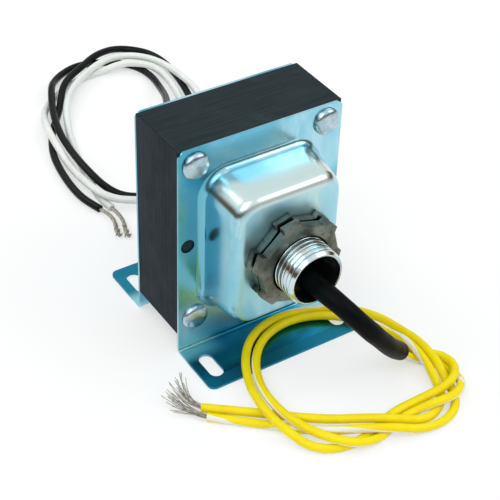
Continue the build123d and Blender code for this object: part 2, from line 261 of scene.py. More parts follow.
def cast_locknut(node):
    """A copy of a packed locknut with its triangles merged, its flats joined and its edges rounded."""
    mesh = nodes[node].data.copy()
    shape = bmesh.new()
    shape.from_mesh(mesh)
    bmesh.ops.remove_doubles(shape, verts=shape.verts, dist=weld)
    bmesh.ops.dissolve_limit(
        shape, angle_limit=np.radians(1.0), verts=shape.verts, edges=shape.edges
    )
    shape.to_mesh(mesh)
    shape.free()
    piece = add_piece(node + "_cast", mesh, cast)
    bevel = piece.modifiers.new("round_edges", "BEVEL")
    bevel.width = nut_rounding
    bevel.segments = 3
    bevel.limit_method = "ANGLE"
    bevel.angle_limit = np.radians(28)
    apply_modifiers(piece)
    crisp_edges(piece, 50)
    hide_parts(node)


def turned_half(points):
    """The same points turned half round about Z, from the front to the rear."""
    return points * np.array([-1, -1, 1])


# Materials
smooth = {"interpolation_type": "SMOOTHSTEP"}
coloured = {"data_type": "RGBA", "output": 2}


def linear(colour):
    """sRGB hex to linear: low values over 12.92, others by the power 2.4 of (value + 0.055) / 1.055."""
    value = np.array([int(colour[start:start + 2], 16) for start in (1, 3, 5)]) / 255
    curved = ((value + 0.055) / 1.055) ** 2.4
    return (*np.where(value <= 0.04045, value / 12.92, curved), 1.0)


def add_node(tree, kind, links=None, output=0, **settings):
    """Add a node and give one of its outputs. The settings are its properties, and the links its
    sockets, each with a number, a hex colour or another node's output."""
    node = tree.nodes.new("ShaderNode" + kind)
    for setting, value in settings.items():
        setattr(node, setting, value)
    for socket, value in (links or {}).items():
        if isinstance(value, bpy.types.NodeSocket):
            tree.links.new(value, node.inputs[socket])
        else:
            node.inputs[socket].default_value = linear(value) if isinstance(value, str) else value
    return node.outputs[output] if node.outputs else node


def empty_tree(owner):
    """The tree of a material or world without its nodes, given as the add_node for it."""
    owner.use_nodes = True
    owner.node_tree.nodes.clear()
    return partial(add_node, owner.node_tree)


def make_material(name, finish, *traits):
    """A material whose finish gives its shader's sockets, from patterns at places on the object."""
    material = bpy.data.materials.new(name)
    add = empty_tree(material)
    shader = add("BsdfPrincipled", finish(add, add("TexCoord", output="Object"), *traits))
    add("OutputMaterial", {"Surface": shader})
    return material


def layered(add, colour, *layers):
    """A colour under layers: each turns it to its tone while a pattern goes from low to high."""
    for pattern, low, high, tone in layers:
        share = add("MapRange", {0: pattern, 1: low, 2: high}, **smooth)
        colour = add("Mix", {0: share, 6: colour, 7: tone}, **coloured)
    return colour


def plated_steel(add, place):
    """Zinc plated and blue passivated steel sheet, rolled then pressed: a pale sky-blue metal, satin,
    with soft cloudy streaks and a faint orange-peel. Painted reflection and shade make it a deeper
    teal on the -X side of the plate and box, and in the middle and front of the foot, and a painted
    highlight makes it pale on the ends of the foot by the bend. The upper wall of the drawn box is
    painted paler and silvery, as painted light. The low part of the plate and the face of the box
    are rubbed dull. The peel is drawn coarser than the real one, so it shows."""
    across = add("SeparateXYZ", {"Vector": place}, "X")
    from_middle = add("Math", {0: across}, operation="ABSOLUTE")
    from_centre = add("Math", {0: add("SeparateXYZ", {"Vector": place}, "Y")}, operation="ABSOLUTE")
    height = add("SeparateXYZ", {"Vector": place}, "Z")
    long_way = add("Mapping", {"Vector": place, "Scale": (1.0, 1.0, 0.3)})
    streaks = add(
        "TexNoise",
        {"Vector": long_way, "Scale": 1 / (12.5 * mm), "Detail": 4.0, "Roughness": 0.6, "Distortion": 0.6},
    )
    clouds = add("TexNoise", {"Vector": place, "Scale": 1 / (38.5 * mm), "Detail": 2.5, "Distortion": 0.8})
    running = add("Mapping", {"Vector": place, "Scale": (1.0, 1.0, 0.5)})
    stains = add(
        "TexNoise",
        {"Vector": running, "Scale": 1 / (18.2 * mm), "Detail": 4.0, "Roughness": 0.65, "Distortion": 1.2},
    )
    colour = layered(
        add,
        "#a2d6e6",
        (streaks, 0.35, 0.7, "#bfe2ea"),
        (clouds, 0.47, 0.62, "#74bdd8"),
        (stains, 0.53, 0.68, "#cbe6e4"),
    )

    # Painted reflection and shade: a deeper teal on the -X side of the plate and box, above the low plate.
    side = add("Math", {0: clouds, 1: 4 * mm, 2: across}, operation="MULTIPLY_ADD")
    side = add("MapRange", {0: side, 1: -15.5 * mm, 2: -22 * mm, 3: 0.0, 4: 0.75}, **smooth)
    raised = add("MapRange", {0: height, 1: 13 * mm, 2: 30 * mm}, **smooth)
    painted_dark_side = add("Math", {0: side, 1: raised}, operation="MULTIPLY")
    colour = add("Mix", {0: painted_dark_side, 6: colour, 7: "#45a2bb"}, **coloured)

    # Painted light: the upper wall of the drawn box is painted paler and silvery, as light falls on it.
    upper = add("MapRange", {0: height, 1: 65.5 * mm, 2: 69.5 * mm}, **smooth)
    drawn_out = add("MapRange", {0: from_centre, 1: 15.5 * mm, 2: 18 * mm}, **smooth)
    painted_pale_top = add("Math", {0: upper, 1: drawn_out}, operation="MULTIPLY")
    colour = add("Mix", {0: painted_pale_top, 6: colour, 7: "#d6e6e4"}, **coloured)

    # Painted reflection and highlight on the foot: a deep teal in the middle and at the front, and pale on
    # the ends by the bend.
    ends = add("MapRange", {0: from_middle, 1: 14 * mm, 2: 24 * mm}, **smooth)
    near_bend = add("MapRange", {0: from_centre, 1: 23 * mm, 2: 17 * mm}, **smooth)
    painted_pad_highlight = add("Math", {0: ends, 1: near_bend}, operation="MULTIPLY")
    foot_painted_reflection = add("Mix", {0: painted_pad_highlight, 6: "#2483a0", 7: "#9fd6de"}, **coloured)
    foot = add("MapRange", {0: height, 1: 4.5 * mm, 2: 1.2 * mm}, **smooth)
    colour = add("Mix", {0: foot, 6: colour, 7: foot_painted_reflection}, **coloured)

    low_plate = add("MapRange", {0: height, 1: 30 * mm, 2: 12 * mm, 3: 0.0, 4: 0.24}, **smooth)
    off_foot = add("MapRange", {0: foot, 1: 0.0, 2: 1.0, 3: 1.0, 4: 0.0}, **smooth)
    rubbed = add("Math", {0: low_plate, 1: off_foot}, operation="MULTIPLY")
    box_face = add("MapRange", {0: from_centre, 1: 30.8 * mm, 2: 31.8 * mm, 3: 0.0, 4: 0.2}, **smooth)
    rubbed = add("Math", {0: rubbed, 1: box_face}, operation="ADD")
    plating = add("MapRange", {0: clouds, 1: 0.3, 2: 0.8, 3: 0.18, 4: 0.29}, **smooth)
    rough = add("Math", {0: plating, 1: rubbed}, operation="ADD")

    waves = add("TexNoise", {"Vector": place, "Scale": 1 / (22.2 * mm), "Detail": 1.0, "Roughness": 0.3})
    waved = add("Bump", {"Height": waves, "Strength": 1.0, "Distance": 0.12 * mm})
    peel = add("TexNoise", {"Vector": place, "Scale": 1 / (1.11 * mm), "Detail": 2.0})
    peeled = add("Bump", {"Height": peel, "Strength": 0.25, "Distance": 0.02 * mm, "Normal": waved})
    return {"Base Color": colour, "Metallic": 1.0, "Roughness": rough, "Normal": peeled}


def black_varnish(add, place):
    """Baked black varnish over stacked steel laminations: blue-black, satin, with streaks along the
    edges of the sheets and small runs. The -X side is painted darker and bluer, as painted shade."""
    along_sheets = add("Mapping", {"Vector": place, "Scale": (0.03, 1.0, 0.03)})
    lines = add(
        "TexNoise", {"Vector": along_sheets, "Scale": 1 / (0.667 * mm), "Detail": 2.0, "Roughness": 0.6}
    )
    clouds = add("TexNoise", {"Vector": place, "Scale": 1 / (16.7 * mm), "Detail": 4.0, "Roughness": 0.6})
    level = layered(add, "#20292c", (lines, 0.3, 0.7, "#293336"), (clouds, 0.45, 0.8, "#303b3e"))
    # Painted shade: the -X side of the core is darker and bluer than the rest.
    painted_shade_side = layered(add, "#101b23", (lines, 0.3, 0.7, "#18252e"))
    across = add("SeparateXYZ", {"Vector": place}, "X")
    colour = layered(add, level, (across, -31.2 * mm, -31.65 * mm, painted_shade_side))
    rough = add("MapRange", {0: clouds, 1: 0.3, 2: 0.7, 3: 0.36, 4: 0.5}, **smooth)
    ridged = add("Bump", {"Height": lines, "Strength": 0.5, "Distance": 0.03 * mm})
    runs = add("TexNoise", {"Vector": place, "Scale": 1 / (4.55 * mm), "Detail": 3.0})
    uneven = add("Bump", {"Height": runs, "Strength": 0.4, "Distance": 0.05 * mm, "Normal": ridged})
    return {"Base Color": colour, "Roughness": rough, "Specular IOR Level": 0.06, "Normal": uneven}


def die_cast_zinc(add, place):
    """Pressure die-cast zinc, tumbled: grey and dull, with painted shade, near black, where two parts
    nearly meet.
    """
    grain = add("TexNoise", {"Vector": place, "Scale": 1 / (1.43 * mm), "Detail": 5.0, "Roughness": 0.65})
    clouds = add("TexNoise", {"Vector": place, "Scale": 1 / (9.09 * mm), "Detail": 3.0, "Distortion": 0.5})
    pitted = layered(add, "#52564f", (clouds, 0.35, 0.7, "#80857e"), (grain, 0.5, 0.8, "#373a35"))
    # Painted shade: near black in the gaps and hollows that ambient occlusion finds, where two parts nearly
    # meet.
    in_the_open = add("AmbientOcclusion", {"Distance": 2.6 * mm}, "AO", samples=8)
    colour = layered(add, "#090a0a", (in_the_open, 0.3, 0.85, pitted))
    rough = add("MapRange", {0: grain, 1: 0.3, 2: 0.7, 3: 0.3, 4: 0.44}, **smooth)
    grained = add("Bump", {"Height": grain, "Strength": 0.5, "Distance": 0.08 * mm})
    return {"Base Color": colour, "Metallic": 1.0, "Roughness": rough, "Normal": grained}


def bright_zinc(add, place):
    """Bright zinc plate on rolled thread: near white, mirror-like along the crests, finely scratched."""
    clouds = add("TexNoise", {"Vector": place, "Scale": 1 / (6.25 * mm), "Detail": 3.0})
    colour = layered(add, "#c9dbe0", (clouds, 0.35, 0.7, "#e2e9e8"))
    rough = add("MapRange", {0: clouds, 1: 0.3, 2: 0.7, 3: 0.13, 4: 0.22}, **smooth)
    round_the_hub = add("Mapping", {"Vector": place, "Scale": (1.0, 9.0, 1.0)})
    scratches = add(
        "TexNoise", {"Vector": round_the_hub, "Scale": 1 / (2.0 * mm), "Detail": 3.0, "Roughness": 0.6}
    )
    scratched = add("Bump", {"Height": scratches, "Strength": 0.3, "Distance": 0.02 * mm})
    return {"Base Color": colour, "Metallic": 1.0, "Roughness": rough, "Normal": scratched}


def rivet_head(add, place):
    """Plated rivet steel, headed cold: a blue-grey dome with small dimples, and painted shade round its
    rim.
    """
    dimples = add("TexNoise", {"Vector": place, "Scale": 1 / (2.38 * mm), "Detail": 2.0})
    plated = layered(add, "#9fc0cc", (dimples, 0.35, 0.7, "#c3cfd8"))
    # Painted shade: dark round the rim of the head, where it meets the plate, from ambient occlusion.
    in_the_open = add("AmbientOcclusion", {"Distance": 1.0 * mm}, "AO", samples=8)
    colour = layered(add, "#10181a", (in_the_open, 0.4, 0.8, plated))
    dimpled = add("Bump", {"Height": dimples, "Strength": 0.5, "Distance": 0.1 * mm})
    return {"Base Color": colour, "Metallic": 1.0, "Roughness": 0.27, "Normal": dimpled}


def vinyl(add, place, colour, mottle, rough, shine, tracer=None):
    """Extruded soft vinyl: an even colour, a satin skin with a fine grain, coarser than the real one
    so that it shows, and a tracer stripe if the lead has one, where the turn share of its own map is
    near one half."""
    clouds = add("TexNoise", {"Vector": place, "Scale": 1 / (7.14 * mm), "Detail": 3.0})
    base = layered(add, colour, (clouds, 0.35, 0.75, mottle))
    if tracer:
        turn = add("SeparateXYZ", {"Vector": add("UVMap", uv_map="along")}, "X")
        striped = add("Math", {0: turn, 1: 0.5, 2: tracer_half_width}, operation="COMPARE")
        base = add("Mix", {0: striped, 6: base, 7: tracer}, **coloured)
    satin = add("MapRange", {0: clouds, 1: 0.3, 2: 0.7, 3: rough - 0.04, 4: rough + 0.08}, **smooth)
    grain = add("TexNoise", {"Vector": place, "Scale": 1 / (0.667 * mm), "Detail": 2.0})
    grained = add("Bump", {"Height": grain, "Strength": 0.2, "Distance": 0.03 * mm})
    return {"Base Color": base, "Roughness": satin, "Specular IOR Level": shine, "Normal": grained}


def tinned_copper(add, place):
    """Fine copper wires dipped in tin: dull silver-grey, with brown patches where copper shows."""
    patches = add("TexNoise", {"Vector": place, "Scale": 1 / (1.11 * mm), "Detail": 2.0})
    colour = layered(add, "#b3afa2", (patches, 0.5, 0.8, "#6a5846"))
    return {"Base Color": colour, "Metallic": 0.9, "Roughness": 0.38}


def plain_inside(add, place, colour, mottle, rough, metal=0.0, grain_size=3.33 * mm):
    """A hidden inner part: its colour with a light mottle and grain of its own kind."""
    grain = add("TexNoise", {"Vector": place, "Scale": 1 / grain_size, "Detail": 3.0})
    base = layered(add, colour, (grain, 0.35, 0.7, mottle))
    grained = add("Bump", {"Height": grain, "Strength": 0.3, "Distance": 0.05 * mm})
    return {"Base Color": base, "Metallic": metal, "Roughness": rough, "Normal": grained}


steel = make_material("plated_steel", plated_steel)
varnish = make_material("black_varnish", black_varnish)
cast = make_material("die_cast_zinc", die_cast_zinc)
bright = make_material("bright_zinc", bright_zinc)
headed = make_material("rivet_head", rivet_head)
yellow_vinyl = make_material("yellow_vinyl", vinyl, "#f6e000", "#eed600", 0.4, 0.25, "#ecece4")
black_vinyl = make_material("black_vinyl", vinyl, "#0a0e10", "#101416", 0.32, 0.15)
white_vinyl = make_material("white_vinyl", vinyl, "#e6e8e4", "#dcdfda", 0.34, 0.5)
sleeve_vinyl = make_material("sleeve_vinyl", vinyl, "#06090a", "#0b0f11", 0.45, 0.06)
tinned = make_material("tinned_copper", tinned_copper)
moulded_nylon = make_material("moulded_nylon", plain_inside, "#1d1f21", "#26282b", 0.5)
enamelled_wire = make_material(
    "enamelled_wire", plain_inside, "#9c5a2c", "#b3703d", 0.3, 0.8, 0.833 * mm
)
paper = make_material("insulating_paper", plain_inside, "#cdbb86", "#bda976", 0.8)
sleeving = make_material("splice_sleeving", plain_inside, "#c9c8ba", "#b9b8aa", 0.6)


# Core: two stacks of laminations
def stack_of_laminations(node, name, outline, seed):
    """Rings of the outline along Y: each sheet is drawn in a little at its two faces, which leaves a
    fine groove between sheets, and each sheet is shifted a little by itself."""
    low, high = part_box(node)
    count = int(round((high.y - low.y) / lamination))
    thickness = (high.y - low.y) / count
    edge = np.array([0, lamination_gap, thickness - lamination_gap, thickness])
    inset = np.array([lamination_gap, 0, 0, lamination_gap])
    y = (low.y + np.arange(count)[:, None] * thickness + edge).ravel()
    draw = np.tile(inset, count)
    corner = np.asarray(outline)
    inward = unit(np.roll(corner, -1, axis=0) - corner) - unit(corner - np.roll(corner, 1, axis=0))
    shift = np.random.default_rng(seed).uniform(-1, 0, (count, 2)) * lamination_shift
    shift = np.repeat(shift, len(edge), axis=0)
    centre = np.array([(low.x + high.x) / 2, (low.z + high.z) / 2])
    towards = np.sign(centre - corner)
    flat = corner + draw[:, None, None] * inward - towards * shift[:, None, :]
    points = joined(flat[:, :, 0], y[:, None], flat[:, :, 1])
    piece = make_piece(name, capped_rings(points), varnish)
    piece.data.set_sharp_from_angle(angle=np.radians(25))
    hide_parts(node)


def make_core():
    """The E sheets close round the coil on three sides, and the I sheets close the fourth."""
    low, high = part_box("core_e_stack")
    i_low, i_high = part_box("core_i_stack")
    seam = i_low.x
    leg = i_high.x - seam
    middle = (low.z + high.z) / 2
    e_outline = [
        (low.x, low.z), (seam, low.z), (seam, low.z + leg), (low.x + leg, low.z + leg),
        (low.x + leg, middle - leg), (seam, middle - leg), (seam, middle + leg),
        (low.x + leg, middle + leg), (low.x + leg, high.z - leg), (seam, high.z - leg),
        (seam, high.z), (low.x, high.z),
    ]
    i_outline = [
        (i_low.x, i_low.z), (i_high.x, i_low.z), (i_high.x, i_high.z), (i_low.x, i_high.z),
    ]
    stack_of_laminations("core_e_stack", "e_laminations", e_outline, 3)
    stack_of_laminations("core_i_stack", "i_laminations", i_outline, 5)


# Covers
corner_steps = 10
side_steps = 14
face_round_steps = 15
base_round_steps = 13
wall_steps = 9
seat_rings = 4
bend_steps = 9
bend_columns = 24
hole_sides = 40
slot_cap_steps = 20


def round_points(radius, angle):
    """Points of a circle: the radius times the cosine across, and times the sine up."""
    return radius * np.column_stack([np.cos(angle), np.sin(angle)])


def rounded_outline(half_width, half_height, corner):
    """A rectangle with rounded corners: four quarter arcs, each followed by a straight side cut into
    equal steps, anticlockwise from the right."""
    quarter = np.linspace(0, np.pi / 2, corner_steps + 1)
    along = np.linspace(0, 1, side_steps + 1)[1:-1, None]
    arcs = []
    for turn, (side, end) in enumerate(((1, 1), (-1, 1), (-1, -1), (1, -1))):
        angle = quarter + turn * np.pi / 2
        middle = np.array([side * (half_width - corner), end * (half_height - corner)])
        arcs.append(middle + round_points(corner, angle))
    loops = []
    for turn in range(4):
        start = arcs[turn][-1]
        end = arcs[(turn + 1) % 4][0]
        loops.extend([arcs[turn], start + along * (end - start)])
    return np.concatenate(loops)


def foot_slot():
    """A slot with half-round ends, long along its second axis."""
    cap = round_points(slot_width / 2, np.linspace(0, np.pi, slot_cap_steps))
    lift = np.array([0, (slot_length - slot_width) / 2])
    return np.concatenate([cap + lift, -cap - lift])


def wall_reach(depth, face_half, taper):
    """How far the box's skin stands from its middle at a depth: the tapered wall, rounded over to
    the face by one arc and into the plate by another, each tangent to both."""
    draft = np.arctan2(taper, box_depth)
    end = sheet + box_depth
    wall = face_half + (end - depth) * np.tan(draft)
    half_left = (np.pi / 2 - draft) / 2
    over = face_half - box_face_radius * np.tan(half_left) + np.sqrt(
        np.clip(box_face_radius**2 - (depth - end + box_face_radius) ** 2, 0, None)
    )
    base_half = face_half + box_depth * np.tan(draft)
    into = base_half + box_base_radius * np.tan(half_left) - np.sqrt(
        np.clip(box_base_radius**2 - (box_base_radius - depth + sheet) ** 2, 0, None)
    )
    reach = np.where(depth > end - box_face_radius * (1 - np.sin(draft)), over, wall)
    return np.where(depth < sheet + box_base_radius * (1 - np.sin(draft)), into, reach), wall


def inside_loop(points, loop):
    """Whether each point lies in a closed loop: a line from it to the right crosses it an odd number
    of times."""
    stop = np.roll(loop, -1, axis=0)
    across, height = points[:, :1], points[:, 1:]
    spans = (loop[:, 1] > height) != (stop[:, 1] > height)
    rise = np.where(stop[:, 1] == loop[:, 1], 1, stop[:, 1] - loop[:, 1])
    crossing = loop[:, 0] + (height - loop[:, 1]) / rise * (stop[:, 0] - loop[:, 0])
    return (spans & (across < crossing)).sum(axis=1) % 2 == 1


def flat_patch(loops, lift):
    """A flat area in triangles between an outer loop and the loops of its holes, put in place by lift."""
    points = np.concatenate(loops)
    start = 0
    edges = []
    for loop in loops:
        number = np.arange(len(loop))
        edges.extend(np.column_stack([number, np.roll(number, -1)]) + start)
        start += len(loop)
    edges = [(int(first), int(second)) for first, second in edges]
    made = geometry.delaunay_2d_cdt([Vector(point) for point in points / mm], edges, [], 2, 1e-5)
    flat = np.array([tuple(point) for point in made[0]]) * mm
    triangles = np.array(made[2])
    middles = flat[triangles].mean(axis=1)
    kept = ~np.any([inside_loop(middles, hole) for hole in loops[1:]], axis=0)
    return lift(flat), triangles[kept]


def cover_skin():
    """The front skin of a cover: hub seat and box as rings, then plate, bend and foot."""
    low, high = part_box("front_cover")
    core_face = high.y
    half_width = high.x
    end = sheet + box_depth

    def at_depth(flat, depth):
        """Points of the front view put in place at a depth in front of the core."""
        return joined(flat[..., 0], core_face - depth, flat[..., 1])

    over = np.linspace(0, np.pi / 2, face_round_steps)
    into = np.linspace(0, np.pi / 2, base_round_steps)
    depth = np.concatenate([
        end - box_face_radius * (1 - np.cos(over)),
        np.linspace(end - box_face_radius, sheet + box_base_radius, wall_steps)[1:-1],
        sheet + box_base_radius * (1 - np.sin(into)),
    ])
    side, side_wall = wall_reach(depth, box_face_width / 2, box_side_taper)
    top, top_wall = wall_reach(depth, box_face_height / 2, box_end_taper)
    rounding = box_corner + (side - side_wall + top - top_wall) / 2
    rings = np.stack([rounded_outline(*sizes) for sizes in zip(side, top, rounding)])
    centre = np.array([0, box_middle])
    first = rings[0]
    angle = np.arctan2(first[:, 1], first[:, 0])
    hole = round_points(hub_hole_radius, angle)
    share = np.linspace(0, 1, seat_rings + 1)[:-1, None, None]
    face = hole + share * (first - hole)
    box = np.concatenate([
        at_depth(face + centre, end),
        at_depth(rings + centre, depth[:, None]),
    ])

    bend_bottom = low.z + sheet + bend_radius
    across = np.linspace(half_width, -half_width, bend_columns)
    plate_top = rounded_outline(half_width, half_width, plate_corner)[: 2 * corner_steps + side_steps + 1]
    plate_top = plate_top + np.array([0, high.z - half_width])
    plate_bottom = np.column_stack([across[::-1], np.full(bend_columns, bend_bottom)])
    plate_loop = np.concatenate([plate_top, plate_bottom])
    hole_angle = np.linspace(0, full_turn, hole_sides, endpoint=False)
    holes = [
        round_points(ground_hole_radius, hole_angle)
        + np.array([side_sign * (half_width - ground_hole_from_side), ground_hole_height])
        for side_sign in (-1, 1)
    ]
    plate = flat_patch([plate_loop, rings[-1] + centre, *holes], lambda flat: at_depth(flat, sheet))

    turn = np.linspace(0, np.pi / 2, bend_steps)
    bend_y = core_face - sheet - bend_radius * (1 - np.cos(turn))
    bend_z = bend_bottom - bend_radius * np.sin(turn)
    bend = joined(across, bend_y[:, None], bend_z[:, None])

    foot_back = core_face - sheet - bend_radius
    foot_front = rounded_outline(half_width, half_width, foot_corner)
    foot_front = foot_front[2 * (corner_steps + side_steps):-side_steps + 1]
    foot_front = foot_front + np.array([0, low.y + half_width])
    foot_rear = np.column_stack([across, np.full(bend_columns, foot_back)])
    slots = [
        foot_slot()
        + np.array([side_sign * (half_width - slot_from_side), core_face - slot_from_core])
        for side_sign in (-1, 1)
    ]
    foot_height = low.z + sheet
    foot = flat_patch(
        [np.concatenate([foot_front, foot_rear]), *slots],
        lambda flat: joined(flat[:, 0], flat[:, 1], foot_height),
    )
    return [grid_patch(box, wrap_columns=True), plate, grid_patch(bend), foot]


def make_covers():
    """The front skin is given its thickness behind it; the rear cover is the same, turned half round."""
    skin = cover_skin()
    for node, turn in (("front_cover", lambda points: points), ("rear_cover", turned_half)):
        patches = [(turn(points), faces) for points, faces in skin]
        piece = make_piece(node + "_pressing", patches, steel)
        outward = -1 if node == "front_cover" else 1
        facing = sum(face.normal.y * face.area for face in piece.data.polygons)
        if facing * outward < 0:
            piece.data.flip_normals()
        wall = piece.modifiers.new("sheet", "SOLIDIFY")
        wall.thickness = sheet
        wall.offset = -1
        wall.use_even_offset = True
        apply_modifiers(piece)
        crisp_edges(piece, 40)
        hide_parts(node)


# Hubs
def threaded_hub(node, name, front):
    """A thin nipple turned about its axis: the outside is cut by a groove whose place along the hub
    moves one pitch in a turn, a bell-shaped dip between broad crests that runs out at the mouth."""
    low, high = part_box(node)
    tip = low.y if front else high.y
    inside = high.y if front else low.y
    outward = -1 if front else 1
    flange_face = inside + outward * hub_flange_thickness
    angle = np.linspace(0, full_turn, thread_sides, endpoint=False)
    length = abs(tip - flange_face)
    along = np.linspace(0, length, thread_rings)
    phase = (along[:, None] / thread_pitch + outward * angle / full_turn) % 1.0
    groove = np.exp(-(((phase - 0.5) / thread_groove) ** 2))
    chamfer = hub_radius - mouth_chamfer + (length - along) * mouth_chamfer / thread_lead_in
    outside = np.minimum(hub_radius - thread_depth * groove, chamfer[:, None])
    lip = np.linspace(0, np.pi, 9)[1:]
    lip_middle = (hub_radius - mouth_chamfer + hub_bore) / 2
    lip_half = (hub_radius - mouth_chamfer - hub_bore) / 2
    bore_along = np.linspace(length - mouth_radius, -hub_flange_thickness, 12)
    plain = np.concatenate([
        lip_middle + lip_half * np.cos(lip),
        np.full_like(bore_along, hub_bore),
        [hub_flange_radius, hub_flange_radius, hub_radius],
    ])
    place = np.concatenate([
        along,
        length - mouth_radius * (1 - np.sin(lip)),
        bore_along,
        [-hub_flange_thickness, 0, 0],
    ])
    radius = np.concatenate([outside, np.tile(plain[:, None], thread_sides)])
    points = joined(
        radius * np.cos(angle),
        flange_face + outward * place[:, None],
        box_middle + radius * np.sin(angle),
    )
    piece = make_piece(name, [grid_patch(points, wrap_rows=True, wrap_columns=True)], bright)
    piece.data.set_sharp_from_angle(angle=np.radians(50))
    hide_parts(node)


# Rivets
def headed_rivet(node, name):
    """A rivet turned about its axis, from the middle of one head to the middle of the other. A head is
    a flat dome with a full rim: its radius goes by the sine, and its height by the cosine, of an
    angle, each raised to two over the fullness."""
    low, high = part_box(node)
    radius = (high.x - low.x) / 2
    height = high.y - seat_of_rivets
    turn = np.linspace(0, np.pi / 2, 18)
    out = radius * np.sin(turn) ** (2 / rivet_fullness)
    rise = seat_of_rivets + height * np.cos(turn).clip(0) ** (2 / rivet_fullness)
    half_radius = np.concatenate([out, [rivet_shank, rivet_shank]])
    half_place = np.concatenate([rise, [seat_of_rivets, 0]])
    profile_radius = np.concatenate([half_radius, half_radius[::-1][1:]])[1:-1, None]
    profile_place = np.concatenate([-half_place, half_place[::-1][1:]])[1:-1, None]
    angle = np.linspace(0, full_turn, rivet_sides, endpoint=False)
    points = joined(
        (low.x + high.x) / 2 + profile_radius * np.cos(angle),
        profile_place,
        (low.z + high.z) / 2 + profile_radius * np.sin(angle),
    )
    piece = make_piece(name, capped_rings(points), headed)
    crisp_edges(piece, 50)
    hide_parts(node)


# Leads
def route_line(route):
    """Points of the smooth line that a lead follows, read from a spline with the route as its
    control points."""
    curve = bpy.data.curves.new("route", "CURVE")
    curve.dimensions = "3D"
    spline = curve.splines.new("NURBS")
    spline.points.add(len(route) - 1)
    for point, place in zip(spline.points, route):
        point.co = (*place, 1)
    spline.order_u = 3
    spline.use_endpoint_u = True
    spline.resolution_u = 16
    holder = bpy.data.objects.new("route", curve)
    mesh = bpy.data.meshes.new_from_object(holder)
    line = np.array([vertex.co for vertex in mesh.vertices])
    bpy.data.objects.remove(holder)
    bpy.data.curves.remove(curve)
    bpy.data.meshes.remove(mesh)
    return line


def distance_along(line):
    """How far along the line each of its points is."""
    return np.concatenate([[0], np.cumsum(np.linalg.norm(np.diff(line, axis=0), axis=1))])


def evenly(line, step):
    """The line again with its points about one step apart, and how far along each is."""
    walked = distance_along(line)
    along = np.linspace(0, walked[-1], int(walked[-1] / step) + 2)
    points = np.column_stack([np.interp(along, walked, line[:, axis]) for axis in range(3)])
    return points, along


def sideways(line):
    """Along the line: the level direction across it, and the one that looks upwards."""
    ahead = unit(np.gradient(line, axis=0))
    level = unit(np.cross(ahead, np.array([0, 0, 1.0])))
    return level, np.cross(level, ahead)


def tube_points(line, radius, sides, twist=0.0, flatten=1.0):
    """Rings about the line: each point is the line's point, plus the radius times the cosine of its
    angle upwards and the sine of it sideways. The twist turns the ring."""
    level, up = sideways(line)
    angle = np.linspace(0, full_turn, sides, endpoint=False)[None, :] + np.reshape(twist, (-1, 1))
    radius = np.reshape(radius, (-1, 1))
    rise = (radius * flatten * np.cos(angle))[..., None] * up[:, None, :]
    aside = (radius * np.sin(angle))[..., None] * level[:, None, :]
    return line[:, None, :] + rise + aside


def closed_ends(line, radius, round_off):
    """The line and radii with a rounded rim and a flat end added at both ends."""
    shrink = np.array([0.0, 0.7, 0.9, 0.97, 1.0])
    ahead = np.array([1.0, 0.95, 0.8, 0.4, 0.0]) * round_off
    first = line[0] - unit(line[1] - line[0]) * ahead[:, None]
    last = line[-1] + unit(line[-1] - line[-2]) * ahead[::-1][:, None]
    points = np.concatenate([first[:-1], line, last[1:]])
    radii = np.concatenate([shrink[:-1] * radius, np.full(len(line), radius), shrink[::-1][1:] * radius])
    return points, radii


# Routes
yellow_inner_route = [
    (-0.0016, -0.024, 0.044), (-0.0011, -0.042, 0.0408), (0.0013, -0.0565, 0.04),
    (0.0093, -0.0642, 0.0308), (0.0186, -0.0648, 0.0198), (0.0254, -0.0624, 0.0117),
    (0.0314, -0.0603, 0.006), (0.0372, -0.0617, 0.0019), (0.0421, -0.0659, 0.00155),
    (0.0441, -0.0719, 0.00155), (0.0432, -0.0778, 0.0024), (0.0392, -0.0823, 0.0045),
    (0.033, -0.0842, 0.005), (0.0266, -0.0832, 0.0048), (0.0196, -0.0809, 0.0022),
    (0.0116, -0.0816, 0.00155), (0.0034, -0.0846, 0.0016), (-0.0046, -0.0852, 0.0042),
    (-0.011, -0.0807, 0.0049), (-0.0158, -0.073, 0.0048), (-0.019, -0.0644, 0.0048),
    (-0.0198, -0.055, 0.0046), (-0.0176, -0.0438, 0.0026), (-0.0124, -0.033, 0.0026),
    (-0.004, -0.025, 0.0026), (0.0065, -0.0219, 0.0026), (0.017, -0.0234, 0.0026),
    (0.026, -0.0288, 0.0026), (0.0326, -0.0365, 0.0026), (0.036, -0.046, 0.0032),
    (0.0367, -0.0556, 0.0063), (0.0365, -0.0653, 0.0059), (0.0359, -0.073, 0.0023),
    (0.0335, -0.0794, 0.00155), (0.028, -0.0844, 0.00155), (0.02, -0.086, 0.0023),
    (0.0115, -0.0828, 0.0051), (0.0025, -0.077, 0.0048), (-0.0065, -0.0698, 0.0026),
    (-0.016, -0.0614, 0.00155), (-0.025, -0.0538, 0.00155), (-0.033, -0.0475, 0.00155),
    (-0.0395, -0.0424, 0.00155),
]
